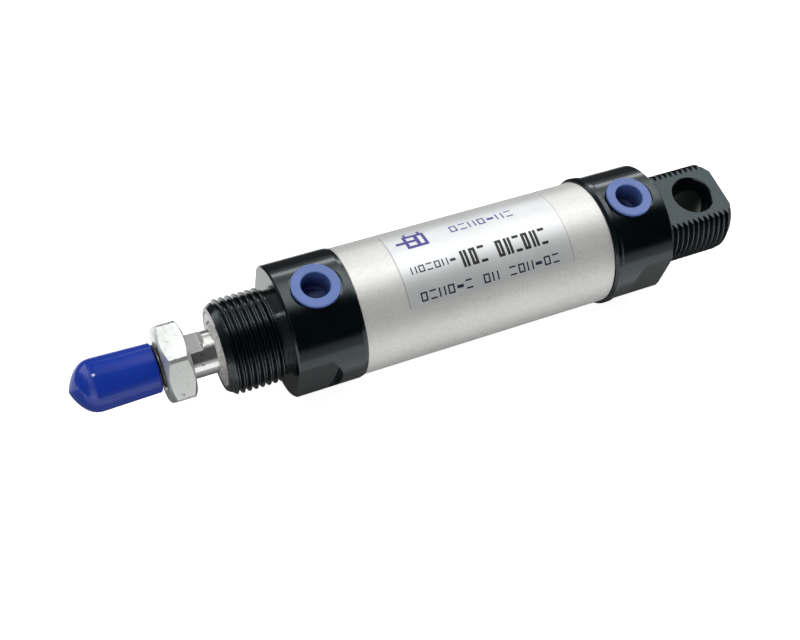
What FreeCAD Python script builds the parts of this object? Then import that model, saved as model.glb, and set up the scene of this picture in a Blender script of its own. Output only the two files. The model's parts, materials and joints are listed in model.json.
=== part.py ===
import FreeCAD, Part
import Sketcher

import math
import os
import sys

from FreeCAD import Vector

# Double-acting mini air cylinder, bore 25 mm, stroke 25 mm, drawn with the rod fully in.
# Frame: origin at the centre of the rear pivot hole, +X along the rod towards its tip,
# +Z along the pivot hole and out of the two ports. Millimetres.

os.makedirs("parts", exist_ok=True)
doc = FreeCAD.newDocument("AirCylinder")


# ---------------------------------------------------------------- driving dimensions

class Dim:
    """A length that carries its value together with the spreadsheet formula behind it."""

    def __init__(self, value, text):
        self.value = value
        self.text = text

    def joined(self, other, sign, value):
        text = other.text if isinstance(other, Dim) else repr(other)
        return Dim(value, f"({self.text} {sign} {text})")

    def __add__(self, other):
        return self.joined(other, "+", self.value + number(other))

    def __sub__(self, other):
        return self.joined(other, "-", self.value - number(other))

    def __mul__(self, other):
        return self.joined(other, "*", self.value * number(other))

    def __truediv__(self, other):
        return self.joined(other, "/", self.value / number(other))

    def __neg__(self):
        return Dim(-self.value, f"(-1 * {self.text})")


def number(dim):
    return dim.value if isinstance(dim, Dim) else float(dim)


def formula(dim):
    return dim.text if isinstance(dim, Dim) else repr(float(dim))


class Dims:
    """The spreadsheet: every alias becomes an attribute that holds a Dim."""

    def __init__(self, table):
        self.sheet = doc.addObject("Spreadsheet::Sheet", "Dims")
        self.sheet.Label = "Dims"
        for row, (alias, value, note) in enumerate(table, start=1):
            self.sheet.set(f"A{row}", note)
            self.sheet.set(f"B{row}", str(value))
            self.sheet.setAlias(f"B{row}", alias)
            setattr(self, alias, Dim(float(value), f"Dims.{alias}"))


d = Dims([
    # barrel and covers
    ("bore_dia", 25, "cylinder bore"),
    ("tube_dia", 29.8, "barrel outside diameter"),
    ("tube_len", 63, "barrel length between the covers"),
    ("cover_dia", 30.6, "outside diameter of both covers"),
    ("cover_len", 16, "length of a cover from barrel to shoulder"),
    ("cover_edge", 0.4, "chamfer at a cover's shoulder"),
    ("cover_bevel_len", 0.9, "bevel of a cover towards the barrel, along the axis"),
    ("cover_bevel_drop", 0.2, "radial drop of that bevel"),
    ("lip_len", 2.1, "raised lip of the rear cover at the barrel"),
    ("lip_rise", 0.4, "height of that lip over the cover"),
    ("lip_round", 0.5, "axial length of the slopes on either side of the lip"),
    ("spigot_len", 9, "how far a cover reaches into the barrel"),
    ("spigot_gap", 0.03, "radial clearance of a cover in the barrel"),
    ("spigot_edge", 0.5, "chamfer at a cover's free end"),
    ("cavity_dia", 15.6, "air chamber inside a cover"),
    ("front_web", 3.2, "front shoulder to the air chamber"),
    ("rear_web", 3.4, "rear shoulder to the air chamber"),
    ("flat_across", 28, "spanner width over the covers"),
    ("flat_run", 1.6, "straight part of a spanner flat"),
    ("cutter_dia", 17, "end mill that cuts the spanner flats"),
    # mounting threads M22 x 1.5
    ("mount_dia", 21.8, "crest diameter of the mounting threads"),
    ("mount_pitch", 1.5, "pitch of the mounting threads"),
    ("mount_depth", 0.9, "depth of the mounting threads"),
    ("nose_len", 14, "length of the threaded nose"),
    ("nose_end_dia", 19, "nose end face"),
    ("nose_chamfer", 2, "axial length of the nose chamfer"),
    ("relief_len", 1.2, "undercut behind the nose thread"),
    ("relief_dia", 19.6, "diameter of that undercut"),
    ("relief_slope", 0.5, "axial length of the slope from the undercut to the crest"),
    # rear lug
    ("lug_back", 8, "pivot centre to the lug's end"),
    ("lug_front", 13, "pivot centre to the rear shoulder"),
    ("lug_thick", 15.4, "across the two flats of the lug"),
    ("lug_end_dia", 18.4, "lug end face"),
    ("pin_dia", 10, "pivot hole"),
    ("pin_edge", 0.3, "chamfer at the pivot hole"),
    # ports G1/8
    ("port_setback", 8.2, "port centre from a cover's shoulder"),
    ("port_dia", 8.8, "tapped port bore"),
    ("port_depth", 6.6, "depth of the tapped bore"),
    ("port_crest_dia", 9.7, "major diameter of the port thread"),
    ("port_duct_dia", 4, "duct from the port to the air chamber"),
    ("port_seat_dia", 12, "spot face round a port"),
    ("port_seat_z", 14.9, "height of the spot face above the axis"),
    # port plugs
    ("plug_flange_dia", 10.9, "flange of a port plug"),
    ("plug_flange_thick", 0.95, "thickness of that flange"),
    ("plug_rim", 0.55, "height of the flange's rim"),
    ("plug_edge", 0.15, "chamfer of the rim and the recess"),
    ("plug_dia", 8.5, "shank of a port plug"),
    ("plug_len", 6.2, "shank length below the flange"),
    ("plug_recess_dia", 6.5, "recess in a port plug"),
    ("plug_recess_depth", 6.2, "depth of that recess"),
    # bumpers and static seals
    ("bumper_out_dia", 22.2, "cushion ring outside"),
    ("bumper_in_dia", 17.8, "cushion ring inside"),
    ("bumper_seat", 1.5, "cushion ring depth in the cover"),
    ("bumper_proud", 1.5, "cushion ring height above the cover"),
    ("bumper_edge", 0.4, "chamfer of the cushion ring"),
    ("tube_ring_back", 3.2, "cover step to O-ring centre"),
    ("tube_ring_section", 1.6, "O-ring section between cover and barrel"),
    ("tube_ring_groove", 2.2, "width of its groove"),
    ("tube_ring_floor", 21.7, "diameter of its groove"),
    # piston
    ("stroke", 25, "stroke"),
    ("end_gap", 0.05, "gap between piston and cushion ring at either end"),
    ("piston_gap", 0.2, "radial clearance of the piston land"),
    ("piston_edge", 0.8, "chamfer at either end of the piston"),
    ("seal_groove_dia", 17.6, "floor of a piston seal groove"),
    ("seal_groove_len", 3.6, "width of a piston seal groove"),
    ("seal_groove_in", 1.9, "piston end to the nearest seal groove"),
    ("seal_side_gap", 0.1, "seal to groove wall"),
    ("seal_floor_gap", 0.05, "seal to groove floor"),
    ("seal_run_gap", 0.04, "seal lip to barrel bore"),
    ("seal_heel_gap", 0.3, "seal heel to barrel bore"),
    ("seal_notch", 1.5, "depth of the lip notch in a seal"),
    ("wear_groove_dia", 22.2, "floor of the wear ring groove"),
    ("wear_len", 3.4, "width of the wear ring"),
    ("wear_edge", 0.3, "chamfer of the wear ring"),
    ("wear_run_gap", 0.04, "wear ring to barrel bore"),
    ("wear_floor_gap", 0.05, "wear ring to groove floor"),
    ("joint_ring_section", 1.2, "O-ring between piston and rod"),
    ("joint_ring_groove", 1.6, "width of its groove"),
    ("joint_ring_floor", 10.5, "diameter of its groove in the piston"),
    # rod
    ("rod_dia", 10, "piston rod"),
    ("rod_edge", 1.1, "chamfer at the rod tip"),
    ("rod_out", 29, "rod length beyond the nose, rod fully in"),
    ("stud_dia", 8, "rod spigot through the piston"),
    ("stud_out", 5.3, "rod spigot beyond the piston"),
    ("rod_flat_across", 8, "spanner width over the rod"),
    ("rod_flat_start", 2.4, "nose face to the rod flats"),
    ("rod_thread_start", 6.6, "nose face to the rod thread"),
    ("rod_flat_turn", 17, "angle of the rod flats about the axis"),
    ("rod_thread_dia", 9.9, "crest diameter of the M10 rod thread"),
    ("rod_thread_pitch", 1.25, "pitch of the rod thread"),
    ("rod_thread_depth", 0.72, "depth of the rod thread"),
    # nuts
    ("nut_across", 17, "rod nut across flats"),
    ("nut_thick", 6, "rod nut thickness"),
    ("nut_face_dia", 15.8, "chamfered face of the rod nut"),
    ("nut_turn", -27, "angle of the rod nut about the axis"),
    ("nut_blunt", 0.5, "corner of the rod nut taken off along each flat"),
    ("nut_gap", 0.05, "radial clearance of a nut on its thread"),
    ("nut_sink", 1, "countersink of a nut"),
    ("nut_slope", 33, "angle of a nut's chamfer to its face"),
    ("piston_nut_across", 13, "piston nut across flats"),
    ("piston_nut_thick", 4.5, "piston nut thickness"),
    ("piston_nut_face_dia", 12.4, "chamfered face of the piston nut"),
    # nose internals
    ("bush_dia", 13, "rod bushing outside"),
    ("bush_len", 12, "rod bushing length"),
    ("bush_gap", 0.04, "rod bushing to rod"),
    ("bush_edge", 0.4, "chamfer of the rod bushing"),
    ("bush_setback", 2.2, "front shoulder to the rod bushing, towards the piston"),
    ("pack_dia", 17.2, "rod packing outside"),
    ("pack_len", 4.2, "rod packing depth in the nose"),
    ("pack_gap", 0.03, "rod packing to rod"),
    ("pack_lip", 0.7, "wiper lip beyond the nose face"),
    # rod thread cap
    ("cap_start", 13.5, "nose face to the cap's open edge"),
    ("cap_mouth_dia", 11.2, "cap outside at its open edge"),
    ("cap_mouth_edge", 0.3, "rounding of that edge"),
    ("cap_wide_dia", 11.88, "cap outside at its shoulder"),
    ("cap_cone_len", 12.9, "open edge to shoulder"),
    ("cap_dome", 5.9, "height of the domed end"),
    ("cap_gap", 0.06, "cap to thread crest"),
    ("cap_end_gap", 0.3, "cap to rod tip"),
    # rating label
    ("label_start", 26.6, "rear shoulder to the label"),
    ("label_len", 41.4, "label length along the barrel"),
    ("label_thick", 0.08, "label foil"),
    ("label_low", -37, "first edge of the label about the axis"),
    ("label_span", 78, "label angle about the axis"),
])

# Stations along the axis, all from the pivot centre.
rear_shoulder = d.lug_front
rear_joint = rear_shoulder + d.cover_len
front_joint = rear_joint + d.tube_len
front_shoulder = front_joint + d.cover_len
nose_face = front_shoulder + d.nose_len
rear_spigot = rear_joint + d.spigot_len
piston_back = rear_spigot + d.bumper_proud + d.end_gap
piston_len = d.tube_len - d.spigot_len * 2 - d.bumper_proud * 2 - d.end_gap * 2 - d.stroke


# ---------------------------------------------------------------- modelling helpers

def bind(obj, prop, dim):
    """Tie one property of an object to the spreadsheet."""
    obj.setExpression(prop, formula(dim))


def new_body(name):
    body = doc.addObject("PartDesign::Body", name)
    body.Label = name
    return body


def place(obj, x=0, y=0, z=0, turn=None):
    """Put a piece at x, y, z of the cylinder, turned about the rod axis."""
    if turn is not None:
        obj.Placement.Rotation = FreeCAD.Rotation(Vector(1, 0, 0), number(turn))
        bind(obj, "Placement.Rotation.Angle", turn)
    for axis, value in (("x", x), ("y", y), ("z", z)):
        if isinstance(value, Dim):
            bind(obj, f"Placement.Base.{axis}", value)
        else:
            setattr(obj.Placement.Base, axis, value)


def origin_plane(body, role):
    return next(f for f in body.Origin.OriginFeatures if f.Role == role)


def new_sketch(body, name, role="XY_Plane", lift=None, shift=None):
    """A sketch flat on one of the body's planes, lifted off it and shifted along its x."""
    sketch = body.newObject("Sketcher::SketchObject", name)
    sketch.AttachmentSupport = (origin_plane(body, role), [""])
    sketch.MapMode = "FlatFace"
    if lift is not None:
        bind(sketch, "AttachmentOffset.Base.z", lift)
    if shift is not None:
        bind(sketch, "AttachmentOffset.Base.x", shift)
    return sketch


def tie(sketch, constraint, dim):
    """Add a sized constraint and bind its size to the spreadsheet."""
    index = sketch.addConstraint(constraint)
    if isinstance(dim, Dim):
        sketch.setExpression(f"Constraints[{index}]", dim.text)


def pin_point(sketch, line, end, point):
    """Fix one end of a line at a point given as two Dims or numbers."""
    for kind, dim, axis in (("DistanceX", point[0], -2), ("DistanceY", point[1], -1)):
        if number(dim) == 0:
            sketch.addConstraint(Sketcher.Constraint("PointOnObject", line, end, axis))
        else:
            tie(sketch, Sketcher.Constraint(kind, -1, 1, line, end, number(dim)), dim)


def polygon(sketch, points):
    """A closed outline through the points, every corner tied to the sheet."""
    first = sketch.GeometryCount
    ends = [Vector(number(a), number(b), 0) for a, b in points]
    for i, start in enumerate(ends):
        sketch.addGeometry(Part.LineSegment(start, ends[(i + 1) % len(ends)]), False)
    for i in range(len(ends)):
        following = first + (i + 1) % len(ends)
        sketch.addConstraint(Sketcher.Constraint("Coincident", first + i, 2, following, 1))
    for i, point in enumerate(points):
        pin_point(sketch, first + i, 1, point)


def circle(sketch, dia, centre=(0, 0)):
    """A full circle of the given diameter."""
    middle = Vector(number(centre[0]), number(centre[1]), 0)
    index = sketch.addGeometry(Part.Circle(middle, Vector(0, 0, 1), number(dia) / 2), False)
    pin_point(sketch, index, 3, centre)
    tie(sketch, Sketcher.Constraint("Diameter", index, number(dia)), dia)


def turned(body, name, points):
    """Solid of revolution about the rod axis: points are (x, radius)."""
    sketch = new_sketch(body, name + "_profile")
    polygon(sketch, points)
    feature = body.newObject("PartDesign::Revolution", name)
    feature.Profile = sketch
    feature.ReferenceAxis = (sketch, ["H_Axis"])
    doc.recompute()
    return feature


def must_cut(body, feature, before):
    """Turn a cutting feature round when it removed nothing."""
    doc.recompute()
    if body.Shape.Volume > before - 1e-6:
        feature.Reversed = not feature.Reversed
        doc.recompute()
    if body.Shape.Volume > before - 1e-6:
        raise RuntimeError(f"{body.Label}: {feature.Label} cuts nothing")


def groove(body, name, points):
    """Turned cut about the rod axis."""
    before = body.Shape.Volume
    sketch = new_sketch(body, name + "_profile")
    polygon(sketch, points)
    feature = body.newObject("PartDesign::Groove", name)
    feature.Profile = sketch
    feature.ReferenceAxis = (sketch, ["H_Axis"])
    must_cut(body, feature, before)


def bore_up(body, name, x, dia, low, high):
    """Round hole along Z at station x, from height low to height high."""
    before = body.Shape.Volume
    sketch = new_sketch(body, name + "_circle", "XY_Plane", lift=low)
    circle(sketch, dia, (x, 0))
    feature = body.newObject("PartDesign::Pocket", name)
    feature.Profile = sketch
    feature.Reversed = True
    bind(feature, "Length", high - low)
    must_cut(body, feature, before)


def helical_cut(body, name, start, crest_dia, depth, pitch, length, backwards=False):
    """Cut a 60 degree thread round the rod axis, from start over the given length."""
    before = body.Shape.Volume
    root = crest_dia / 2 - depth
    outer = crest_dia / 2 + 0.25
    half_root = pitch / 12
    half_top = half_root + (depth + 0.25) * math.tan(math.radians(30))
    sketch = new_sketch(body, name + "_profile")
    polygon(sketch, [
        (start - half_root, root),
        (start + half_root, root),
        (start + half_top, outer),
        (start - half_top, outer),
    ])
    feature = body.newObject("PartDesign::SubtractiveHelix", name)
    feature.Profile = sketch
    feature.ReferenceAxis = (sketch, ["H_Axis"])
    feature.Mode = "pitch-height-angle"
    bind(feature, "Pitch", pitch)
    bind(feature, "Height", length)
    feature.Angle = 0
    feature.Reversed = backwards
    doc.recompute()
    if body.Shape.Volume > before - 1e-6:
        raise RuntimeError(f"{body.Label}: {name} cuts nothing")


def mirrored(body, feature, role):
    """Repeat the last cut on the far side of one of the body's planes."""
    mirror = body.newObject("PartDesign::Mirrored", feature.Name + "_mirror")
    mirror.Originals = [feature]
    mirror.MirrorPlane = (origin_plane(body, role), [""])
    body.Tip = mirror
    doc.recompute()


def side_flats(body, name, outline, across, reach):
    """Two parallel flats, normal to Y, cut down to the given width across them."""
    before = body.Shape.Volume
    sketch = new_sketch(body, name + "_outline", "XZ_Plane", lift=across / 2)
    outline(sketch)
    feature = body.newObject("PartDesign::Pocket", name)
    feature.Profile = sketch
    bind(feature, "Length", reach)
    feature.Reversed = True
    must_cut(body, feature, before)
    mirrored(body, feature, "XZ_Plane")


def cover_flat_outline(shoulder, direction):
    """Outline of a spanner flat: open at the shoulder, round where the cutter stopped."""
    stop = shoulder - d.flat_run * direction
    open_end = shoulder + direction
    radius = d.cutter_dia / 2

    def outline(sketch):
        x0 = number(stop)
        x1 = number(open_end)
        r = number(radius)
        corners = [Vector(x0, -r, 0), Vector(x1, -r, 0), Vector(x1, r, 0), Vector(x0, r, 0)]
        for start, end in zip(corners, corners[1:]):
            sketch.addGeometry(Part.LineSegment(start, end), False)
        round_end = Part.Arc(corners[3], Vector(x0 - direction * r, 0, 0), corners[0])
        sketch.addGeometry(round_end, False)
        top, low = (1, 2) if direction > 0 else (2, 1)
        for joint in ((0, 2, 1, 1), (1, 2, 2, 1), (2, 2, 3, top), (0, 1, 3, low)):
            sketch.addConstraint(Sketcher.Constraint("Coincident", *joint))
        for line, kind in ((0, "Horizontal"), (1, "Vertical"), (2, "Horizontal")):
            sketch.addConstraint(Sketcher.Constraint(kind, line))
        pin_point(sketch, 3, 3, (stop, 0))
        for line, end, x in ((0, 1, stop), (2, 2, stop), (1, 1, open_end)):
            tie(sketch, Sketcher.Constraint("DistanceX", -1, 1, line, end, number(x)), x)
        tie(sketch, Sketcher.Constraint("Radius", 3, r), radius)
    return outline


def port(body, x):
    """Spot face, tapped bore and duct of one air port."""
    top = d.cover_dia / 2 + 1
    floor = d.port_seat_z - d.port_depth
    bore_up(body, "port_seat", x, d.port_seat_dia, d.port_seat_z, top)
    bore_up(body, "port_bore", x, d.port_dia, floor, top)
    before = body.Shape.Volume
    sketch = new_sketch(body, "port_sink_profile", "XZ_Plane", shift=x)
    polygon(sketch, [
        (0, d.port_seat_z + 0.1),
        (d.port_crest_dia / 2 + 0.1, d.port_seat_z + 0.1),
        (0, d.port_seat_z - d.port_crest_dia / 2),
    ])
    sink = body.newObject("PartDesign::Groove", "port_sink")
    sink.Profile = sketch
    sink.ReferenceAxis = (sketch, ["V_Axis"])
    must_cut(body, sink, before)
    bore_up(body, "port_duct", x, d.port_duct_dia, d.cavity_dia / 2 - 1, floor + 0.5)


def turned_ring(name, station, inner, outer, length, edge=None):
    """Plain ring with optional outside chamfers."""
    body = new_body(name)
    points = [(0, inner / 2), (length, inner / 2)]
    if edge is None:
        points += [(length, outer / 2), (0, outer / 2)]
    else:
        points += [
            (length, outer / 2 - edge),
            (length - edge, outer / 2),
            (edge, outer / 2),
            (0, outer / 2 - edge),
        ]
    turned(body, name + "_turned", points)
    place(body, station)
    return body


def round_ring(name, station, middle_radius, section):
    """O-ring about the rod axis."""
    ring = doc.addObject("Part::Torus", name)
    ring.Label = name
    bind(ring, "Radius1", middle_radius)
    bind(ring, "Radius2", section / 2)
    ring.Placement.Rotation = FreeCAD.Rotation(Vector(0, 1, 0), 90)
    bind(ring, "Placement.Base.x", station)
    return ring


def blunt_hexagon(corner, blunt):
    """Twelve points of a hexagon whose corners are taken off by a length along each flat."""
    points = []
    for k in range(6):
        for neighbour in (k - 1, k + 1):
            near = math.radians(60 * k)
            far = math.radians(60 * neighbour)
            points.append((
                (corner - blunt) * -math.sin(near) + blunt * -math.sin(far),
                (corner - blunt) * math.cos(near) + blunt * math.cos(far),
            ))
    return points


def hex_nut(name, station, across, thick, face_dia, hole, turn=None):
    """Hexagon nut with both faces chamfered and its hole countersunk."""
    body = new_body(name)
    corner = across / 2 / math.cos(math.radians(30))
    sketch = new_sketch(body, name + "_hexagon", "YZ_Plane")
    polygon(sketch, blunt_hexagon(corner, d.nut_blunt))
    pad = body.newObject("PartDesign::Pad", name + "_blank")
    pad.Profile = sketch
    bind(pad, "Length", thick)
    doc.recompute()
    sink = d.nut_sink
    groove(body, name + "_hole", [
        (-0.1, 0),
        (thick + 0.1, 0),
        (thick + 0.1, hole / 2 + sink * 0.6),
        (thick - sink * 0.6, hole / 2),
        (sink * 0.6, hole / 2),
        (-0.1, hole / 2 + sink * 0.6),
    ])
    beyond = corner + 1
    drop = (beyond - face_dia / 2) * math.tan(math.radians(number(d.nut_slope)))
    groove(body, name + "_front_edges", [
        (thick, face_dia / 2),
        (thick + 1, face_dia / 2),
        (thick + 1, beyond),
        (thick - drop, beyond),
    ])
    groove(body, name + "_rear_edges", [
        (0, face_dia / 2),
        (drop, beyond),
        (-1, beyond),
        (-1, face_dia / 2),
    ])
    place(body, station, turn=turn)
    return body


# ---------------------------------------------------------------- covers and barrel

def spigot_outline(step, outward):
    """A cover's spigot with its O-ring groove, from the step to its free end."""
    spigot = d.bore_dia / 2 - d.spigot_gap
    ring = step + d.tube_ring_back * outward
    half = d.tube_ring_groove / 2 * outward
    end = step + d.spigot_len * outward
    return [
        (step, spigot),
        (ring - half, spigot),
        (ring - half, d.tube_ring_floor / 2),
        (ring + half, d.tube_ring_floor / 2),
        (ring + half, spigot),
        (end - d.spigot_edge * outward, spigot),
        (end, spigot - d.spigot_edge),
    ]


def make_front_cover():
    """Front cover: spigot, round body, threaded nose, bushing bore and packing pocket."""
    body = new_body("front_cover")
    cover = d.cover_dia / 2
    mount = d.mount_dia / 2
    step = d.spigot_len
    shoulder = step + d.cover_len
    face = shoulder + d.nose_len
    turned(body, "front_turning", [
        (0, 0),
        *reversed(spigot_outline(step, -1)),
        (step, cover - d.cover_bevel_drop),
        (step + d.cover_bevel_len, cover),
        (shoulder - d.cover_edge, cover),
        (shoulder, cover - d.cover_edge),
        (shoulder, d.relief_dia / 2),
        (shoulder + d.relief_len, d.relief_dia / 2),
        (shoulder + d.relief_len + d.relief_slope, mount),
        (face - d.nose_chamfer, mount),
        (face, d.nose_end_dia / 2),
        (face, 0),
    ])
    cavity_end = shoulder - d.front_web
    bush_start = shoulder - d.bush_setback
    pack_start = face - d.pack_len
    groove(body, "front_bores", [
        (-0.1, 0),
        (face + 0.1, 0),
        (face + 0.1, d.pack_dia / 2),
        (pack_start, d.pack_dia / 2),
        (pack_start, d.bush_dia / 2),
        (bush_start, d.bush_dia / 2),
        (bush_start, d.rod_dia / 2 + 0.4),
        (cavity_end, d.rod_dia / 2 + 0.4),
        (cavity_end, d.cavity_dia / 2),
        (-0.1, d.cavity_dia / 2),
    ])
    groove(body, "front_cushion_seat", [
        (-0.1, d.bumper_in_dia / 2),
        (d.bumper_seat, d.bumper_in_dia / 2),
        (d.bumper_seat, d.bumper_out_dia / 2),
        (-0.1, d.bumper_out_dia / 2),
    ])
    port(body, shoulder - d.port_setback)
    side_flats(body, "front_spanner_flat", cover_flat_outline(shoulder, 1),
               d.flat_across, d.cover_dia - d.flat_across)
    helical_cut(body, "nose_thread", shoulder + d.relief_len, d.mount_dia, d.mount_depth,
                d.mount_pitch, d.nose_len - d.relief_len + 0.6)
    place(body, front_joint - d.spigot_len)
    return body


def make_rear_cover():
    """Rear cover: threaded pivot lug, round body and spigot."""
    body = new_body("rear_cover")
    cover = d.cover_dia / 2
    mount = d.mount_dia / 2
    shoulder = d.lug_front
    step = shoulder + d.cover_len
    end = step + d.spigot_len
    lip = cover + d.lip_rise
    turned(body, "rear_turning", [
        (-d.lug_back, 0),
        (-d.lug_back, d.lug_end_dia / 2),
        (-d.lug_back + d.nose_chamfer, mount),
        (shoulder, mount),
        (shoulder, cover - d.cover_edge),
        (shoulder + d.cover_edge, cover),
        (step - d.lip_len, cover),
        (step - d.lip_len + d.lip_round, lip),
        (step - d.lip_round, lip),
        (step, cover - d.cover_bevel_drop),
        *spigot_outline(step, 1),
        (end, 0),
    ])
    groove(body, "rear_chamber", [
        (shoulder + d.rear_web, 0),
        (end + 0.1, 0),
        (end + 0.1, d.cavity_dia / 2),
        (shoulder + d.rear_web, d.cavity_dia / 2),
    ])
    groove(body, "rear_cushion_seat", [
        (end - d.bumper_seat, d.bumper_in_dia / 2),
        (end + 0.1, d.bumper_in_dia / 2),
        (end + 0.1, d.bumper_out_dia / 2),
        (end - d.bumper_seat, d.bumper_out_dia / 2),
    ])
    port(body, shoulder + d.port_setback)
    side_flats(body, "rear_spanner_flat", cover_flat_outline(shoulder, -1),
               d.flat_across, d.cover_dia - d.flat_across)

    # The lug is milled flat above and below, and drilled across for the pivot pin.
    before = body.Shape.Volume
    sketch = new_sketch(body, "lug_flat_outline", "XY_Plane", lift=d.lug_thick / 2)
    polygon(sketch, [
        (-d.lug_back - 1, -mount - 1),
        (shoulder, -mount - 1),
        (shoulder, mount + 1),
        (-d.lug_back - 1, mount + 1),
    ])
    flat = body.newObject("PartDesign::Pocket", "lug_flat")
    flat.Profile = sketch
    flat.Reversed = True
    bind(flat, "Length", d.mount_dia - d.lug_thick)
    must_cut(body, flat, before)
    mirrored(body, flat, "XY_Plane")
    bore_up(body, "pivot_hole", 0, d.pin_dia, -d.mount_dia / 2, d.mount_dia / 2)
    before = body.Shape.Volume
    sketch = new_sketch(body, "pivot_sink_profile", "XZ_Plane")
    top = d.lug_thick / 2
    polygon(sketch, [
        (0, top),
        (d.pin_dia / 2 + d.pin_edge, top),
        (d.pin_dia / 2 - 0.5, top - d.pin_edge - 0.5),
        (0, top - d.pin_edge - 0.5),
    ])
    sink = body.newObject("PartDesign::Groove", "pivot_sink")
    sink.Profile = sketch
    sink.ReferenceAxis = (sketch, ["V_Axis"])
    must_cut(body, sink, before)
    mirrored(body, sink, "XY_Plane")
    helical_cut(body, "lug_thread", -d.lug_back - 0.6, d.mount_dia, d.mount_depth,
                d.mount_pitch, d.lug_back + d.lug_front)
    place(body, 0)
    return body


def make_barrel():
    """Drawn aluminium tube between the two covers."""
    body = new_body("barrel_tube")
    over = d.tube_len
    outer = d.tube_dia / 2
    edge = 0.25
    turned(body, "barrel_turning", [
        (0, d.bore_dia / 2),
        (over, d.bore_dia / 2),
        (over, outer - edge),
        (over - edge, outer),
        (edge, outer),
        (0, outer - edge),
    ])
    place(body, rear_joint)
    return body


def make_label():
    """Rating label: a piece of foil wrapped over the top of the barrel."""
    sectors = []
    for name, radius in (("label_outer", d.tube_dia / 2 + d.label_thick),
                         ("label_inner", d.tube_dia / 2)):
        sector = doc.addObject("Part::Cylinder", name)
        bind(sector, "Radius", radius)
        bind(sector, "Height", d.label_len)
        bind(sector, "Angle", d.label_span)
        sector.Placement.Rotation = FreeCAD.Rotation(Vector(0, 1, 0), 90)
        sectors.append(sector)
    label = doc.addObject("Part::Cut", "nameplate_label")
    label.Label = "nameplate_label"
    label.Base, label.Tool = sectors
    # Laid along X, each sector starts under the axis and opens towards +Y.
    place(label, rear_shoulder + d.label_start, turn=-(d.label_low + d.label_span - 180))
    return label


# ---------------------------------------------------------------- piston and its seals

def make_piston():
    """Piston with two seal grooves, a wear ring groove and a static seal groove."""
    body = new_body("piston")
    land = d.bore_dia / 2 - d.piston_gap
    floor = d.seal_groove_dia / 2
    edge = d.piston_edge
    a0 = d.seal_groove_in
    a1 = a0 + d.seal_groove_len
    b1 = piston_len - d.seal_groove_in
    b0 = b1 - d.seal_groove_len
    w0 = piston_len / 2 - d.wear_len / 2 - d.seal_side_gap
    w1 = piston_len / 2 + d.wear_len / 2 + d.seal_side_gap
    wear = d.wear_groove_dia / 2
    hole = d.stud_dia / 2 + 0.02
    mid = piston_len / 2
    half = d.joint_ring_groove / 2
    turned(body, "piston_turning", [
        (0, hole),
        (0, land - edge),
        (edge, land),
        (a0, land),
        (a0, floor),
        (a1, floor),
        (a1, land),
        (w0, land),
        (w0, wear),
        (w1, wear),
        (w1, land),
        (b0, land),
        (b0, floor),
        (b1, floor),
        (b1, land),
        (piston_len - edge, land),
        (piston_len, land - edge),
        (piston_len, hole),
        (mid + half, hole),
        (mid + half, d.joint_ring_floor / 2),
        (mid - half, d.joint_ring_floor / 2),
        (mid - half, hole),
    ])
    place(body, piston_back)
    return body


def make_piston_seal(name, station, facing):
    """Lip seal. Its notch and lips face the pressure: -1 to the rear, +1 to the front."""
    body = new_body(name)
    inner = d.seal_groove_dia / 2 + d.seal_floor_gap
    lip = d.bore_dia / 2 - d.seal_run_gap
    heel = d.bore_dia / 2 - d.seal_heel_gap
    middle = (inner + lip) / 2
    width = d.seal_groove_len - d.seal_side_gap * 2

    def at(x):
        return width - x if facing > 0 else x

    mouth = width if facing > 0 else 0
    turned(body, name + "_turning", [
        (mouth, inner),
        (at(width), inner),
        (at(width), heel - 0.3),
        (at(width - 0.3), heel),
        (at(d.seal_notch), heel),
        (at(d.seal_notch * 0.3), lip),
        (mouth, lip - 0.25),
        (mouth, middle + 0.55),
        (at(d.seal_notch), middle),
        (mouth, middle - 0.55),
    ])
    place(body, station + d.seal_side_gap)
    return body


def make_seal_set():
    front_seal_at = piston_back + piston_len - d.seal_groove_in - d.seal_groove_len
    return [
        make_piston_seal("piston_seal_rear", piston_back + d.seal_groove_in, -1),
        make_piston_seal("piston_seal_front", front_seal_at, 1),
        turned_ring("piston_wear_ring", piston_back + piston_len / 2 - d.wear_len / 2,
                    d.wear_groove_dia + d.wear_floor_gap * 2,
                    d.bore_dia - d.wear_run_gap * 2, d.wear_len, d.wear_edge),
    ]


# ---------------------------------------------------------------- rod and its hardware

def make_rod():
    """Piston rod: rear stud, chromed shank, two spanner flats and the M10 thread."""
    body = new_body("piston_rod")
    stud = d.stud_dia / 2
    rod = d.rod_dia / 2
    crest = d.rod_thread_dia / 2
    stud_len = d.stud_out + piston_len
    tip = nose_face + d.rod_out - piston_back + d.stud_out
    face = tip - d.rod_out
    thread = face + d.rod_thread_start
    turned(body, "rod_turning", [
        (0, 0),
        (0, stud - 0.8),
        (0.8, stud),
        (stud_len, stud),
        (stud_len, rod),
        (thread - 0.15, rod),
        (thread, crest),
        (tip - d.rod_edge, crest),
        (tip, crest - d.rod_edge),
        (tip, 0),
    ])
    start = face + d.rod_flat_start
    half = d.rod_flat_across / 2
    before = body.Shape.Volume
    sketch = new_sketch(body, "rod_flat_profile", "XZ_Plane")
    polygon(sketch, [
        (start + 1.1, half),
        (thread, half),
        (thread, rod + 0.2),
        (start - 0.1, rod + 0.2),
    ])
    flat = body.newObject("PartDesign::Pocket", "rod_flat")
    flat.Profile = sketch
    flat.Midplane = True
    bind(flat, "Length", d.rod_dia + 2)
    must_cut(body, flat, before)
    mirrored(body, flat, "XY_Plane")
    helical_cut(body, "rod_thread", thread + 0.5, d.rod_thread_dia, d.rod_thread_depth,
                d.rod_thread_pitch, d.rod_out - d.rod_thread_start + 0.6)
    place(body, piston_back - d.stud_out, turn=d.rod_flat_turn)
    return body


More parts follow.
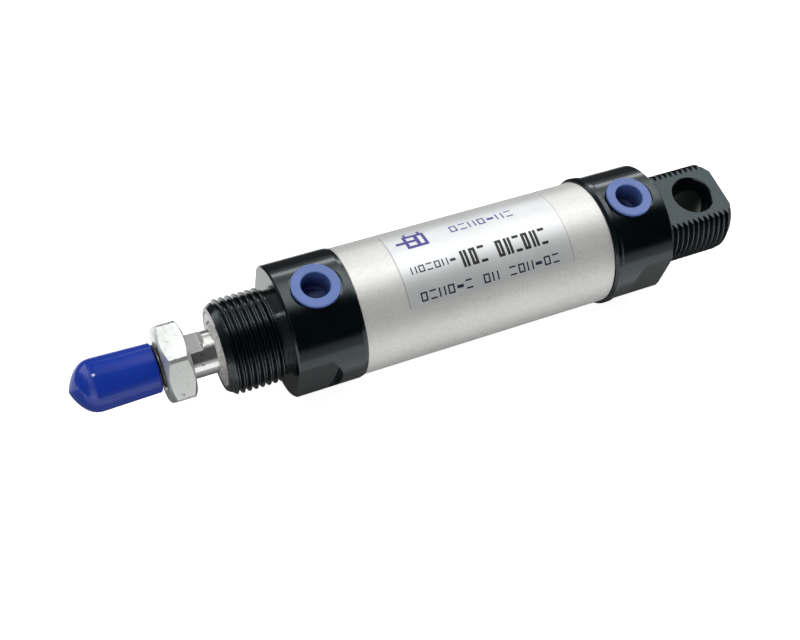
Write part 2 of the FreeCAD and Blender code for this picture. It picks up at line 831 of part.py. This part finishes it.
def make_packing():
    """Rod seal and wiper in one ring; its wiper lip stands out of the nose."""
    body = new_body("rod_packing")
    bore = d.rod_dia / 2 + d.pack_gap
    outer = d.pack_dia / 2
    depth = d.pack_len
    turned(body, "packing_turning", [
        (0, bore + 0.9),
        (0, outer),
        (depth - 0.25, outer),
        (depth, outer - 0.25),
        (depth, bore + 1.6),
        (depth - 0.5, bore + 1.2),
        (depth + d.pack_lip, bore + 0.35),
        (depth + d.pack_lip, bore),
        (depth - 1.0, bore + 0.5),
        (1.2, bore + 0.5),
        (0.4, bore),
        (0, bore),
        (0, bore + 0.3),
        (0.9, bore + 0.65),
    ])
    place(body, nose_face - d.pack_len)
    return body


def make_thread_cap():
    """Dipped plastic cap over the rod thread, slightly tapered with a blunt pointed end."""
    body = new_body("rod_thread_cap")
    cone = d.cap_cone_len
    mouth = d.cap_mouth_dia / 2
    wide = d.cap_wide_dia / 2
    inner = d.rod_thread_dia / 2 + d.cap_gap
    depth = d.rod_out - d.cap_start + d.cap_end_gap
    outline = [(0, 0), (0, mouth - d.cap_mouth_edge), (d.cap_mouth_edge, mouth), (cone, wide)]
    steps = 16
    for i in range(1, steps):
        along = math.sin(math.pi / 2 * i / steps)
        outline.append((cone + d.cap_dome * along, wide * (1 - along ** 2.3) ** 0.8))
    outline.append((cone + d.cap_dome, 0))
    turned(body, "cap_turning", outline)
    groove(body, "cap_bore", [
        (-0.1, 0),
        (depth, 0),
        (depth, inner - d.rod_edge),
        (depth - d.rod_edge, inner),
        (-0.1, inner),
    ])
    place(body, nose_face + d.cap_start)
    return body


def make_plug(name, station):
    """Protective plug pressed into a port: shank, flange and recess, turned about Z."""
    body = new_body(name)
    shank = d.plug_dia / 2
    flange = d.plug_flange_dia / 2
    thick = d.plug_flange_thick
    recess = d.plug_recess_dia / 2
    depth = thick - d.plug_recess_depth
    sketch = new_sketch(body, name + "_profile", "XZ_Plane")
    polygon(sketch, [
        (0, -d.plug_len),
        (shank - 0.5, -d.plug_len),
        (shank, -d.plug_len + 0.8),
        (shank, 0),
        (shank + 0.8, 0),
        (flange, thick - d.plug_rim),
        (flange, thick - d.plug_edge),
        (flange - d.plug_edge, thick),
        (recess + d.plug_edge, thick),
        (recess, thick - d.plug_edge),
        (recess, depth + 0.5),
        (recess - 0.5, depth),
        (0, depth),
    ])
    feature = body.newObject("PartDesign::Revolution", name + "_turned")
    feature.Profile = sketch
    feature.ReferenceAxis = (sketch, ["V_Axis"])
    doc.recompute()
    place(body, station, 0, d.port_seat_z)
    return body


# ---------------------------------------------------------------- the assembly

pieces = [
    make_front_cover(),
    make_rear_cover(),
    make_barrel(),
    make_label(),
    turned_ring("rod_bushing", front_shoulder - d.bush_setback, d.rod_dia + d.bush_gap * 2,
                d.bush_dia, d.bush_len, d.bush_edge),
    make_packing(),
    turned_ring("rear_bumper", rear_spigot - d.bumper_seat, d.bumper_in_dia,
                d.bumper_out_dia, d.bumper_seat + d.bumper_proud, d.bumper_edge),
    turned_ring("front_bumper", front_joint - d.spigot_len - d.bumper_proud, d.bumper_in_dia,
                d.bumper_out_dia, d.bumper_seat + d.bumper_proud, d.bumper_edge),
    round_ring("rear_tube_o_ring", rear_joint + d.tube_ring_back,
               d.tube_ring_floor / 2 + d.tube_ring_section / 2 + 0.02, d.tube_ring_section),
    round_ring("front_tube_o_ring", front_joint - d.tube_ring_back,
               d.tube_ring_floor / 2 + d.tube_ring_section / 2 + 0.02, d.tube_ring_section),
    make_piston(),
    *make_seal_set(),
    round_ring("piston_o_ring", piston_back + piston_len / 2,
               d.stud_dia / 2 + d.joint_ring_section / 2 + 0.01, d.joint_ring_section),
    make_rod(),
    hex_nut("piston_nut", piston_back - d.piston_nut_thick, d.piston_nut_across,
            d.piston_nut_thick, d.piston_nut_face_dia, d.stud_dia + 0.04),
    hex_nut("rod_nut", nose_face + d.rod_thread_start, d.nut_across, d.nut_thick,
            d.nut_face_dia, d.rod_thread_dia + d.nut_gap * 2, turn=d.nut_turn),
    make_thread_cap(),
    make_plug("rear_port_plug", rear_shoulder + d.port_setback),
    make_plug("front_port_plug", front_shoulder - d.port_setback),
]

doc.recompute()


# ---------------------------------------------------------------- checks and export

faults = []
for obj in doc.Objects:
    if {"Invalid", "Error"} & set(obj.State):
        faults.append(f"{obj.Label}: {obj.State}")
for piece in pieces:
    shape = piece.Shape
    if shape.isNull() or not shape.isValid():
        faults.append(f"{piece.Label}: no valid shape")
    elif len(shape.Solids) != 1:
        faults.append(f"{piece.Label}: {len(shape.Solids)} solids")
if faults:
    print("\n".join(faults))
    sys.exit(1)

for piece in pieces:
    piece.Shape.exportStep(f"parts/{piece.Label}.step")
    box = piece.Shape.BoundBox
    print(f"{piece.Label:20s} x {box.XMin:8.2f} {box.XMax:8.2f}   y {box.YMin:7.2f} {box.YMax:7.2f}"
          f"   z {box.ZMin:7.2f} {box.ZMax:7.2f}   volume {piece.Shape.Volume:9.1f}")
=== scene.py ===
import json
import math

import bpy
from mathutils import Matrix, Vector


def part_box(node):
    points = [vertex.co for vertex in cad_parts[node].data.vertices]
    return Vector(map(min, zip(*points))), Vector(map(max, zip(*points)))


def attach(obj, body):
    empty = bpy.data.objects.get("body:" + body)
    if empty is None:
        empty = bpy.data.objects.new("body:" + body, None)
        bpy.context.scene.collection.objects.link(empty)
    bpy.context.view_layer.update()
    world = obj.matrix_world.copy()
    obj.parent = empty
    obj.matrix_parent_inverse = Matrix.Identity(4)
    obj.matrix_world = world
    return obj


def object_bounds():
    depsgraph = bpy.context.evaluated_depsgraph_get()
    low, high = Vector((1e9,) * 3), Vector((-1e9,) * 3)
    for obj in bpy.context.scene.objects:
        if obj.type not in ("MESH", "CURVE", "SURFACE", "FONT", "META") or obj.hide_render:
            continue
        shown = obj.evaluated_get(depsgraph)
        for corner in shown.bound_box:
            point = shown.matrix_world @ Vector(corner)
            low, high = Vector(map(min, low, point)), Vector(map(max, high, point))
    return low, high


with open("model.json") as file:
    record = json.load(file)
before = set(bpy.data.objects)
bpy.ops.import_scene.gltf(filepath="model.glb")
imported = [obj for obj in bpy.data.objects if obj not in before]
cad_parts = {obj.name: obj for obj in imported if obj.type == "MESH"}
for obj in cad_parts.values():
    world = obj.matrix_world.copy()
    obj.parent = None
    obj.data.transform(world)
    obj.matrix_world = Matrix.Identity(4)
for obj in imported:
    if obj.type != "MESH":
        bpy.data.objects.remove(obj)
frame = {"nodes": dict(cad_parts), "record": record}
cad_low, cad_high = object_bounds()
nodes = frame["nodes"]

MM = 0.001


# ---------------------------------------------------------------- places read from the frame

def low(node):
    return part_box(node)[0]


def high(node):
    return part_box(node)[1]


COVER_LEN = 16 * MM                      # a cover, from the barrel to its shoulder
PIN_EDGE = 0.3 * MM                      # chamfer at either end of the pivot hole

mounts = {mount["name"]: mount for mount in frame["record"]["mounts"]}
label_x = (low("nameplate_label").x, high("nameplate_label").x)
label_r = high("nameplate_label").z      # the label lies across the barrel's top
rear_shoulder = low("barrel_tube").x - COVER_LEN
lug_half = mounts["rear_pivot"]["dims"]["length_mm"] / 2 * MM + PIN_EDGE
rod_thread_start = low("rod_nut").x


# ---------------------------------------------------------------- material building blocks

class Nodes:
    """A node tree with short calls for the nodes used here."""

    def __init__(self, tree, shader, coordinates):
        self.tree = tree
        self.shader = tree.nodes[shader]
        self.coordinates = self.add("ShaderNodeTexCoord").outputs[coordinates]

    def add(self, kind, **settings):
        node = self.tree.nodes.new(kind)
        for key, value in settings.items():
            setattr(node, key, value)
        return node

    def link(self, source, target):
        self.tree.links.new(source, target)

    def set(self, **values):
        """Constant values on the shader's own sockets; an underscore stands for a space."""
        for key, value in values.items():
            self.shader.inputs[key.replace("_", " ")].default_value = value

    def split(self):
        """The x, y and z of the coordinates."""
        node = self.add("ShaderNodeSeparateXYZ")
        self.link(self.coordinates, node.inputs["Vector"])
        return node.outputs["X"], node.outputs["Y"], node.outputs["Z"]

    def stretched(self, scale):
        """The coordinates with each axis multiplied by its part of scale."""
        mapping = self.add("ShaderNodeMapping")
        mapping.inputs["Scale"].default_value = scale
        self.link(self.coordinates, mapping.inputs["Vector"])
        return mapping.outputs["Vector"]

    def noise(self, scale, detail=4.0, stretch=(1, 1, 1), roughness=0.55):
        node = self.add("ShaderNodeTexNoise")
        node.inputs["Scale"].default_value = scale
        node.inputs["Detail"].default_value = detail
        node.inputs["Roughness"].default_value = roughness
        self.link(self.stretched(stretch), node.inputs["Vector"])
        return node.outputs["Fac"]

    def ramp(self, value, stops):
        """Colour ramp: stops are (position, colour or grey)."""
        node = self.add("ShaderNodeValToRGB")
        elements = node.color_ramp.elements
        while len(elements) < len(stops):
            elements.new(0.5)
        for element, (position, colour) in zip(elements, stops):
            element.position = position
            if isinstance(colour, (int, float)):
                colour = (colour,) * 3
            element.color = (*colour, 1)
        self.link(value, node.inputs["Fac"])
        return node.outputs["Color"]

    def spread(self, value, low_out, high_out, low_in=0.3, high_in=0.7):
        """Value mapped from low_in..high_in to low_out..high_out, and held at both ends."""
        node = self.add("ShaderNodeMapRange")
        node.inputs["From Min"].default_value = low_in
        node.inputs["From Max"].default_value = high_in
        node.inputs["To Min"].default_value = low_out
        node.inputs["To Max"].default_value = high_out
        self.link(value, node.inputs["Value"])
        return node.outputs["Result"]

    def math(self, operation, first, second=None):
        node = self.add("ShaderNodeMath", operation=operation)
        for socket, value in zip(node.inputs, (first, second)):
            if value is None:
                continue
            if isinstance(value, (int, float)):
                socket.default_value = value
            else:
                self.link(value, socket)
        return node.outputs["Value"]

    def mix(self, factor, first, second):
        """Colour first where factor is 0, second where it is 1."""
        node = self.add("ShaderNodeMix", data_type="RGBA")
        for socket, value in ((node.inputs["Factor"], factor), (node.inputs[6], first),
                              (node.inputs[7], second)):
            if isinstance(value, (int, float)):
                socket.default_value = value
            elif isinstance(value, tuple):
                socket.default_value = (*value, 1)
            else:
                self.link(value, socket)
        return node.outputs[2]

    def edge_wear(self, radius, low_in=0.02, high_in=0.2):
        """1 on sharp edges, 0 on flat ground."""
        bevel = self.add("ShaderNodeBevel", samples=4)
        bevel.inputs["Radius"].default_value = radius
        plain = self.add("ShaderNodeNewGeometry").outputs["Normal"]
        dot = self.add("ShaderNodeVectorMath", operation="DOT_PRODUCT")
        self.link(bevel.outputs["Normal"], dot.inputs[0])
        self.link(plain, dot.inputs[1])
        gap = self.math("SUBTRACT", 1.0, dot.outputs["Value"])
        return self.spread(gap, 0.0, 1.0, low_in, high_in)

    def painted_shade_mask(self, reach, low_in, high_in):
        """Mask for painted shade: 0 deep inside the piece's own recesses, 1 on its open faces."""
        occlusion = self.add("ShaderNodeAmbientOcclusion", samples=8, only_local=True)
        occlusion.inputs["Distance"].default_value = reach
        return self.spread(occlusion.outputs["AO"], 0.0, 1.0, low_in, high_in)

    def relief(self, heights, rounding=None):
        """Bump from a list of (height, distance in metres), over edges softened by rounding."""
        normal = None
        if rounding:
            bevel = self.add("ShaderNodeBevel", samples=4)
            bevel.inputs["Radius"].default_value = rounding
            normal = bevel.outputs["Normal"]
        for height, distance in heights:
            bump = self.add("ShaderNodeBump")
            bump.inputs["Strength"].default_value = 1.0
            bump.inputs["Distance"].default_value = distance
            self.link(height, bump.inputs["Height"])
            if normal is not None:
                self.link(normal, bump.inputs["Normal"])
            normal = bump.outputs["Normal"]
        self.link(normal, self.shader.inputs["Normal"])


class Finish(Nodes):
    """A material built on the Principled shader, patterned in the piece's own coordinates."""

    def __init__(self, name):
        self.material = bpy.data.materials.new(name)
        self.material.use_nodes = True
        super().__init__(self.material.node_tree, "Principled BSDF", "Object")


def black_anodised():
    """Covers: turned and black anodised; the milled flats of the lug are duller."""
    m = Finish("cover_black")
    grain = m.noise(1100, 5)
    cloud = m.noise(70, 3)
    turning = m.noise(1400, 3, (1, 0.02, 0.02))
    x, y, z = m.split()
    lug = m.math("LESS_THAN", x, rear_shoulder - 0.05 * MM)
    off_flat = m.math("ABSOLUTE", m.math("SUBTRACT", m.math("ABSOLUTE", z), lug_half))
    flat = m.math("MULTIPLY", lug, m.math("LESS_THAN", off_flat, 0.03 * MM))
    tone = m.ramp(cloud, [(0.3, (0.0005, 0.0018, 0.0026)), (0.7, (0.0012, 0.0034, 0.0045))])
    milled = m.ramp(grain, [(0.3, (0.006, 0.013, 0.016)), (0.7, (0.016, 0.028, 0.034))])
    tone = m.mix(flat, tone, milled)
    worn = m.edge_wear(0.1 * MM)
    worn = m.math("MULTIPLY", worn, m.spread(m.noise(260, 4), 0.0, 0.35, 0.45, 0.7))
    m.link(m.mix(worn, tone, (0.14, 0.15, 0.16)), m.shader.inputs["Base Color"])
    rough = m.math("ADD", m.spread(grain, 0.09, 0.15), m.spread(cloud, -0.01, 0.03))
    m.link(m.math("ADD", rough, m.math("MULTIPLY", flat, 0.34)), m.shader.inputs["Roughness"])
    m.set(Metallic=0.0, IOR=1.6, Specular_Tint=(0.84, 0.97, 1.0, 1))
    m.relief([(turning, 0.0022 * MM), (grain, 0.0016 * MM)], 0.1 * MM)
    return m.material


def satin_barrel():
    """Barrel: natural anodised, a fine satin grain over faint drawing lines along x."""
    m = Finish("barrel_silver")
    grain = m.noise(2600, 3)
    cloud = m.noise(60, 4)
    drawn = m.noise(700, 3, (0.03, 1, 1))
    tone = m.ramp(cloud, [(0.3, (0.68, 0.68, 0.66)), (0.7, (0.74, 0.74, 0.72))])
    speckle = m.spread(m.noise(1500, 3), 0.0, 0.35, 0.35, 0.7)
    m.link(m.mix(speckle, tone, (0.50, 0.50, 0.49)), m.shader.inputs["Base Color"])
    m.link(m.math("ADD", m.spread(grain, 0.40, 0.50), m.spread(drawn, -0.02, 0.03)),
           m.shader.inputs["Roughness"])
    m.set(Metallic=0.5)
    m.relief([(grain, 0.009 * MM), (drawn, 0.002 * MM)], 0.1 * MM)
    return m.material


def label_foil():
    """Rating label: silver foil with a thin dark trim line along its two cut ends."""
    m = Finish("label_foil")
    grain = m.noise(1800, 3)
    cloud = m.noise(90, 3)
    x = m.split()[0]
    trim_width = 0.16 * MM
    trim = m.math("MAXIMUM", m.math("GREATER_THAN", x, label_x[1] - trim_width),
                  m.math("LESS_THAN", x, label_x[0] + trim_width))
    tone = m.ramp(cloud, [(0.3, (0.65, 0.665, 0.67)), (0.7, (0.71, 0.725, 0.73))])
    m.link(m.mix(m.math("MULTIPLY", trim, 0.7), tone, (0.22, 0.22, 0.22)),
           m.shader.inputs["Base Color"])
    m.link(m.spread(grain, 0.36, 0.45), m.shader.inputs["Roughness"])
    m.set(Metallic=0.5)
    m.relief([(grain, 0.002 * MM), (cloud, 0.02 * MM)])
    return m.material


def printed(name, colour):
    """Screen print on the label."""
    m = Finish(name)
    speckle = m.noise(2400, 3)
    dark = tuple(c * 0.8 for c in colour)
    m.link(m.mix(m.spread(speckle, 0, 1), colour, dark), m.shader.inputs["Base Color"])
    m.link(m.spread(speckle, 0.42, 0.55), m.shader.inputs["Roughness"])
    m.relief([(speckle, 0.001 * MM)])
    return m.material


def metal(name, dark, light, rough, grain_scale=900, stretch=(1, 1, 1), bump=0.003,
          rounding=0.1, metallic=1.0, specks=0.0, darker_from=None):
    """Bare or plated metal, bump and rounding in millimetres; specks is how dark the small
    pits are. From the given station on, the metal is darker and rougher."""
    m = Finish(name)
    grain = m.noise(grain_scale, 4, stretch)
    cloud = m.noise(80, 3)
    tone = m.ramp(cloud, [(0.3, dark), (0.7, light)])
    if specks:
        pits = m.spread(m.noise(520, 2), 0.0, specks, 0.68, 0.74)
        tone = m.mix(pits, tone, tuple(c * 0.15 for c in dark))
    roughness = m.math("ADD", m.spread(grain, rough[0], rough[1]), m.spread(cloud, -0.02, 0.02))
    if darker_from is not None:
        # From this station on, the metal is darker and rougher.
        darker_part = m.math("GREATER_THAN", m.split()[0], darker_from)
        tone = m.mix(darker_part, tone, (0.16, 0.16, 0.165))
        roughness = m.math("ADD", roughness, m.math("MULTIPLY", darker_part, 0.16))
    m.link(tone, m.shader.inputs["Base Color"])
    m.link(roughness, m.shader.inputs["Roughness"])
    m.set(Metallic=metallic)
    m.relief([(grain, bump * MM)], rounding * MM)
    return m.material


def rubber(name, dark, light, rough=(0.45, 0.6), mottle=120):
    """Seal, packing or cushion material; mottle is the scale of its colour variation."""
    m = Finish(name)
    grain = m.noise(1500, 4)
    cloud = m.noise(mottle, 3)
    m.link(m.ramp(cloud, [(0.3, dark), (0.7, light)]), m.shader.inputs["Base Color"])
    m.link(m.spread(grain, *rough), m.shader.inputs["Roughness"])
    m.relief([(grain, 0.005 * MM)], 0.08 * MM)
    return m.material


def dipped_vinyl():
    """Cap: glossy dipped vinyl with a faint ripple."""
    m = Finish("cap_blue")
    ripple = m.noise(160, 2)
    cloud = m.noise(60, 3)
    speck = m.noise(2000, 3)
    m.link(m.ramp(cloud, [(0.3, (0.008, 0.033, 0.28)), (0.7, (0.011, 0.040, 0.34))]),
           m.shader.inputs["Base Color"])
    m.link(m.spread(speck, 0.06, 0.10), m.shader.inputs["Roughness"])
    m.set(IOR=1.42, Subsurface_Weight=0.05,
          Subsurface_Radius=(0.4 * MM, 0.6 * MM, 1.5 * MM))
    m.relief([(ripple, 0.02 * MM), (speck, 0.0006 * MM)], 0.1 * MM)
    return m.material


def moulded_plug():
    """Port plugs: soft translucent plastic, with painted shade darkening it down in the recess."""
    m = Finish("plug_blue")
    grain = m.noise(1500, 3)
    cloud = m.noise(140, 3)
    tone = m.ramp(cloud, [(0.3, (0.080, 0.145, 0.39)), (0.7, (0.100, 0.172, 0.46))])
    # Painted shade: deep in the recess the colour goes near black, where shade falls.
    m.link(m.mix(m.painted_shade_mask(6 * MM, 0.2, 0.62), (0.002, 0.004, 0.045), tone),
           m.shader.inputs["Base Color"])
    m.link(m.spread(grain, 0.30, 0.42), m.shader.inputs["Roughness"])
    m.set(IOR=1.5, Subsurface_Weight=0.12,
          Subsurface_Radius=(0.6 * MM, 0.8 * MM, 2.2 * MM))
    m.relief([(grain, 0.004 * MM)], 0.1 * MM)
    return m.material


finish = {
    "cover_black": black_anodised(),
    "barrel_silver": satin_barrel(),
    "label_foil": label_foil(),
    "bushing_bronze": metal("bushing_bronze", (0.36, 0.22, 0.09), (0.46, 0.29, 0.13),
                            rough=(0.4, 0.55)),
    "seal_rubber": rubber("seal_rubber", (0.012, 0.012, 0.013), (0.022, 0.022, 0.024)),
    "packing_urethane": rubber("packing_urethane", (0.29, 0.29, 0.285), (0.56, 0.56, 0.545),
                               rough=(0.22, 0.32), mottle=1000),
    "bumper_urethane": rubber("bumper_urethane", (0.45, 0.30, 0.10), (0.55, 0.40, 0.16),
                              rough=(0.3, 0.4)),
    "wear_ring_plastic": rubber("wear_ring_plastic", (0.70, 0.68, 0.60), (0.78, 0.76, 0.70)),
    "piston_alloy": metal("piston_alloy", (0.60, 0.60, 0.61), (0.70, 0.70, 0.71),
                          rough=(0.22, 0.34), grain_scale=1200, stretch=(1, 0.02, 0.02)),
    "rod_chrome": metal("rod_chrome", (0.78, 0.78, 0.77), (0.86, 0.86, 0.85),
                        rough=(0.12, 0.20), grain_scale=1600, stretch=(1, 0.015, 0.015),
                        bump=0.001, metallic=0.9, specks=0.5, darker_from=rod_thread_start),
    "piston_nut_steel": metal("piston_nut_steel", (0.42, 0.42, 0.42), (0.5, 0.5, 0.5),
                              rough=(0.3, 0.42)),
    "nut_plated": metal("nut_plated", (0.70, 0.72, 0.70), (0.80, 0.82, 0.80),
                        rough=(0.26, 0.38), grain_scale=1100, bump=0.005, rounding=0.12,
                        metallic=0.85, specks=0.8),
    "cap_blue": dipped_vinyl(),
    "plug_blue": moulded_plug(),
}

SHARP_EDGE = math.radians(32)
slot_of = {part["node"]: part["material_slot"] for part in frame["record"]["subparts"]}
for name, obj in nodes.items():
    obj.data.materials.clear()
    obj.data.materials.append(finish[slot_of[name]])
    obj.data.polygons.foreach_set("use_smooth", [True] * len(obj.data.polygons))
    obj.data.set_sharp_from_angle(angle=SHARP_EDGE)


# ---------------------------------------------------------------- print on the label

def on_label(x, angle, height):
    """Point at station x and angle from the top towards +Y, standing off the label."""
    radius = label_r + height
    return (x, radius * math.sin(angle), radius * math.cos(angle))


PRINT_THICK = 0.02 * MM
PRINT_SUNK = 0.01 * MM                   # how far the print reaches into the foil
PRINT_STEP = math.radians(2)             # angle spanned by one face of a wrapped patch


def print_on_label(name, patches, material):
    """One mesh of thin printed patches wrapped on the label: each is (x0, x1, a0, a1)."""
    vertices, faces = [], []
    for x0, x1, a0, a1 in patches:
        steps = max(1, int(abs(a1 - a0) / PRINT_STEP))
        base = len(vertices)
        for i in range(steps + 1):
            angle = a0 + (a1 - a0) * i / steps
            for x in (x0, x1):
                for lift in (-PRINT_SUNK, PRINT_THICK):
                    vertices.append(on_label(x, angle, lift))
        for i in range(steps):
            p = base + 4 * i
            q = p + 4
            faces += [(p + 1, p + 3, q + 3, q + 1), (p, q, q + 2, p + 2),
                      (p, p + 1, q + 1, q), (p + 2, q + 2, q + 3, p + 3)]
        last = base + 4 * steps
        faces += [(base, base + 2, base + 3, base + 1), (last, last + 1, last + 3, last + 2)]
    mesh = bpy.data.meshes.new(name)
    mesh.from_pydata(vertices, [], faces)
    mesh.update()
    piece = bpy.data.objects.new(name, mesh)
    bpy.context.scene.collection.objects.link(piece)
    mesh.materials.append(material)
    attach(piece, "cylinder_body")


def stroke(x, y, width, height, degrees):
    """A printed bar, in millimetres: x back from the label's front edge, and y down from
    the line at that many degrees from the top."""
    top = math.radians(degrees) + y * MM / label_r
    right = label_x[1] - x * MM
    return (right - width * MM, right, top, top + height * MM / label_r)


BOX, POSTS, LINES, BLOCK, SPACE = range(5)


def marks(start, degrees, height, pitch, line, kinds):
    """A row of placeholder marks: boxes, twin posts, twin lines and blocks; no letters.
    The row starts start back from the label's front edge, its top at degrees."""
    bars = []
    for i, kind in enumerate(kinds):
        x = start + i * pitch
        width = pitch * 0.72
        if kind in (BOX, POSTS):
            bars.append(stroke(x, 0, line, height, degrees))
            bars.append(stroke(x + width - line, 0, line, height, degrees))
        if kind in (BOX, LINES):
            inset = line if kind == BOX else 0
            for y in (0, height - line):
                bars.append(stroke(x + inset, y, width - 2 * inset, line, degrees))
        if kind == BLOCK:
            bars.append(stroke(x, height / 2 - line, width, 2 * line, degrees))
    return bars


small_print = marks(2.6, 7.0, 1.7, 1.9, 0.3, [POSTS, BOX, LINES, BOX, POSTS, BLOCK])
small_print += marks(3.0, 30.0, 2.1, 2.2, 0.36, [
    BOX, LINES, POSTS, BOX, BLOCK, LINES, SPACE, BOX, POSTS, SPACE,
    LINES, BOX, POSTS, BLOCK, BOX, LINES,
])
print_on_label("label_small_print", small_print, printed("print_navy", (0.012, 0.012, 0.035)))

bold_print = marks(14.8, 4.6, 4.0, 2.2, 0.66, [
    POSTS, BOX, LINES, SPACE, BOX, POSTS, LINES, BOX, POSTS, LINES,
])
print_on_label("label_bold_print", bold_print, printed("print_black", (0.008, 0.008, 0.009)))

# A plain double-acting cylinder symbol, and a row of marks beside it.
SYMBOL_TOP = -31
symbol = [
    stroke(4.4, 0.9, 5.2, 0.75, SYMBOL_TOP),       # barrel walls
    stroke(4.4, 4.5, 5.2, 0.75, SYMBOL_TOP),
    stroke(4.4, 1.65, 0.75, 2.85, SYMBOL_TOP),     # end walls
    stroke(8.85, 1.65, 0.75, 2.85, SYMBOL_TOP),
    stroke(7.0, 1.65, 0.9, 2.85, SYMBOL_TOP),      # piston
    stroke(2.3, 2.7, 4.7, 0.75, SYMBOL_TOP),       # rod
    stroke(5.0, 0, 0.6, 0.9, SYMBOL_TOP),          # ports
    stroke(8.4, 0, 0.6, 0.9, SYMBOL_TOP),
]
symbol += marks(15.7, -24.5, 2.1, 2.35, 0.34, [BOX, LINES, POSTS, BOX, BLOCK, POSTS, LINES])
print_on_label("label_symbol", symbol, printed("print_violet", (0.075, 0.045, 0.30)))


# ---------------------------------------------------------------- studio

# How bright the ground shines on the piece, over y in millimetres: (y, level). The low levels
# under the piece and along its near side are a painted shadow. This is only what lights the piece
# and shows
# in its gloss: the camera sees the whole floor as white.
GROUND_REACH = 60
ground = [
    (-48, 0.0), (-36, 1.0), (-14.4, 1.0), (-4.8, 0.15), (12, 0.15), (19.2, 0.30), (24, 0.30),
    (36, 1.0),
]


def paper():
    """Pale paper, overexposed where seen directly; as lit ground it ends just behind the piece,
    and under it and along the near side it carries a painted shadow in its colour and glow."""
    m = Finish("paper_floor")
    seen = m.add("ShaderNodeLightPath").outputs["Is Camera Ray"]
    across = m.spread(m.split()[1], 0.0, 1.0, -GROUND_REACH * MM, GROUND_REACH * MM)
    # Painted shadow: for all but camera rays the ground's colour and glow drop under the piece and
    # along its near side.
    ground_with_painted_shadow = m.math("MAXIMUM", seen, m.ramp(across, [
        (0.5 + y / (2 * GROUND_REACH), level) for y, level in ground
    ]))
    mottle = m.noise(6, 3)
    pale = m.ramp(mottle, [(0.3, (0.90, 0.90, 0.90)), (0.7, (0.92, 0.92, 0.92))])
    m.link(m.mix(ground_with_painted_shadow, (0.03, 0.03, 0.03), pale), m.shader.inputs["Base Color"])
    m.link(m.math("MULTIPLY", m.spread(seen, 0.28, 0.85, 0.0, 1.0), ground_with_painted_shadow),
           m.shader.inputs["Emission Strength"])
    m.set(Roughness=0.9, Emission_Color=(1, 1, 1, 1))
    return m.material


FLOOR_SIZE = 6
bpy.ops.mesh.primitive_plane_add(size=FLOOR_SIZE, location=(0, 0, cad_low.z))
floor = bpy.context.object
floor.name = "floor"
floor.data.materials.append(paper())

# Light comes from all round, by direction: turned about the rod's axis from straight up
# (0 degrees) towards +Y (90 degrees). One big window on the far side with a narrow strip
# below it, a dark ceiling on the near side, a pale wall along the near horizon, and a fill
# from the rod's end. Each list is (degrees, level); a level of 1 shows as white.
PEAK = 5.0                               # the brightest level
window = [
    (-180, 0.0), (-100, 0.05), (-88, 0.25), (-81, 0.8), (-77, 4.2), (-73, 4.2), (-69, 0.9),
    (-58, 1.1), (-46, 2.4), (-24, 2.9), (-12, 2.3), (-4, 0.9), (5, 0.12), (14, 0.02), (180, 0.0),
]
wall = [
    (-180, 0.9), (-92, 0.9), (-88, 0.0), (66, 0.0), (71, 0.15), (74, 0.6), (92, 1.1), (180, 1.1),
]
fill = [
    (-180, 0.0), (-95, 0.0), (-85, 1.6), (-40, 2.2), (-10, 1.2), (30, 0.7), (50, 1.2),
    (85, 2.4), (95, 2.4), (180, 0.0),
]
LAMP_TOWARDS = Vector((0.09, -0.24, 0.965))
LAMP_LEVEL = 20
LAMP_CORE, LAMP_RIM = 0.10, 0.125        # radii of its disc, in radians


def studio():
    """The light on the piece. Where the camera looks past the floor, it sees plain white."""
    world = bpy.data.worlds.new("studio")
    world.use_nodes = True
    m = Nodes(world.node_tree, "Background", "Generated")
    x, y, z = m.split()
    turn = m.spread(m.math("ARCTAN2", y, z), 0.0, 1.0, -math.pi, math.pi)
    along = m.spread(x, 0.0, 1.0, -1.0, 1.0)

    def ring(levels, reach):
        """Light by turn about the axis, faded by reach: (direction's x, part)."""
        about = m.ramp(turn, [((a + 180) / 360, level / PEAK) for a, level in levels])
        return m.math("MULTIPLY", about, m.ramp(along, [((x + 1) / 2, part) for x, part in reach]))

    far = ring(window, [(-1, 0.3), (-0.8, 0.6), (-0.6, 0.9), (-0.24, 1.0), (-0.13, 0.3),
                        (-0.07, 0.04), (1, 0.02)])
    near = ring(wall, [(-1, 1.0), (-0.62, 1.0), (-0.56, 0.6), (-0.15, 0.6), (-0.08, 0.2),
                       (0.1, 0.2), (1, 0.15)])
    side = ring(fill, [(-1, 0.0), (0.14, 0.0), (0.3, 1.0), (0.6, 1.0), (0.75, 0.1), (1, 0.0)])
    lamp = m.add("ShaderNodeVectorMath", operation="DOT_PRODUCT")
    m.link(m.coordinates, lamp.inputs[0])
    lamp.inputs[1].default_value = LAMP_TOWARDS.normalized()
    glint = m.spread(lamp.outputs["Value"], 0.0, LAMP_LEVEL / PEAK,
                     math.cos(LAMP_RIM), math.cos(LAMP_CORE))
    light = m.math("ADD", m.math("ADD", far, near), m.math("ADD", side, glint))
    seen = m.add("ShaderNodeLightPath").outputs["Is Camera Ray"]
    m.link(m.mix(seen, light, (1 / PEAK,) * 3), m.shader.inputs["Color"])
    m.set(Strength=PEAK)
    return world


bpy.context.scene.world = studio()
bpy.context.scene.view_settings.view_transform = "Standard"


# ---------------------------------------------------------------- camera

CAMERA_PLACE = Vector((160.930, 116.393, 226.193)) * MM
CAMERA_RIGHT = Vector((-0.91196, 0.38691, 0.13649))
CAMERA_BACK = Vector((0.30525, 0.41757, 0.85584))

camera_data = bpy.data.cameras.new("camera")
camera_data.sensor_width = 36
camera_data.lens = 52.126
camera = bpy.data.objects.new("camera", camera_data)
bpy.context.scene.collection.objects.link(camera)
right = CAMERA_RIGHT.normalized()
back = CAMERA_BACK.normalized()
turn = Matrix((right, back.cross(right), back)).transposed().to_4x4()
camera.matrix_world = Matrix.Translation(CAMERA_PLACE) @ turn
camera_data.clip_start = 0.01
camera_data.clip_end = 20
bpy.context.scene.camera = camera
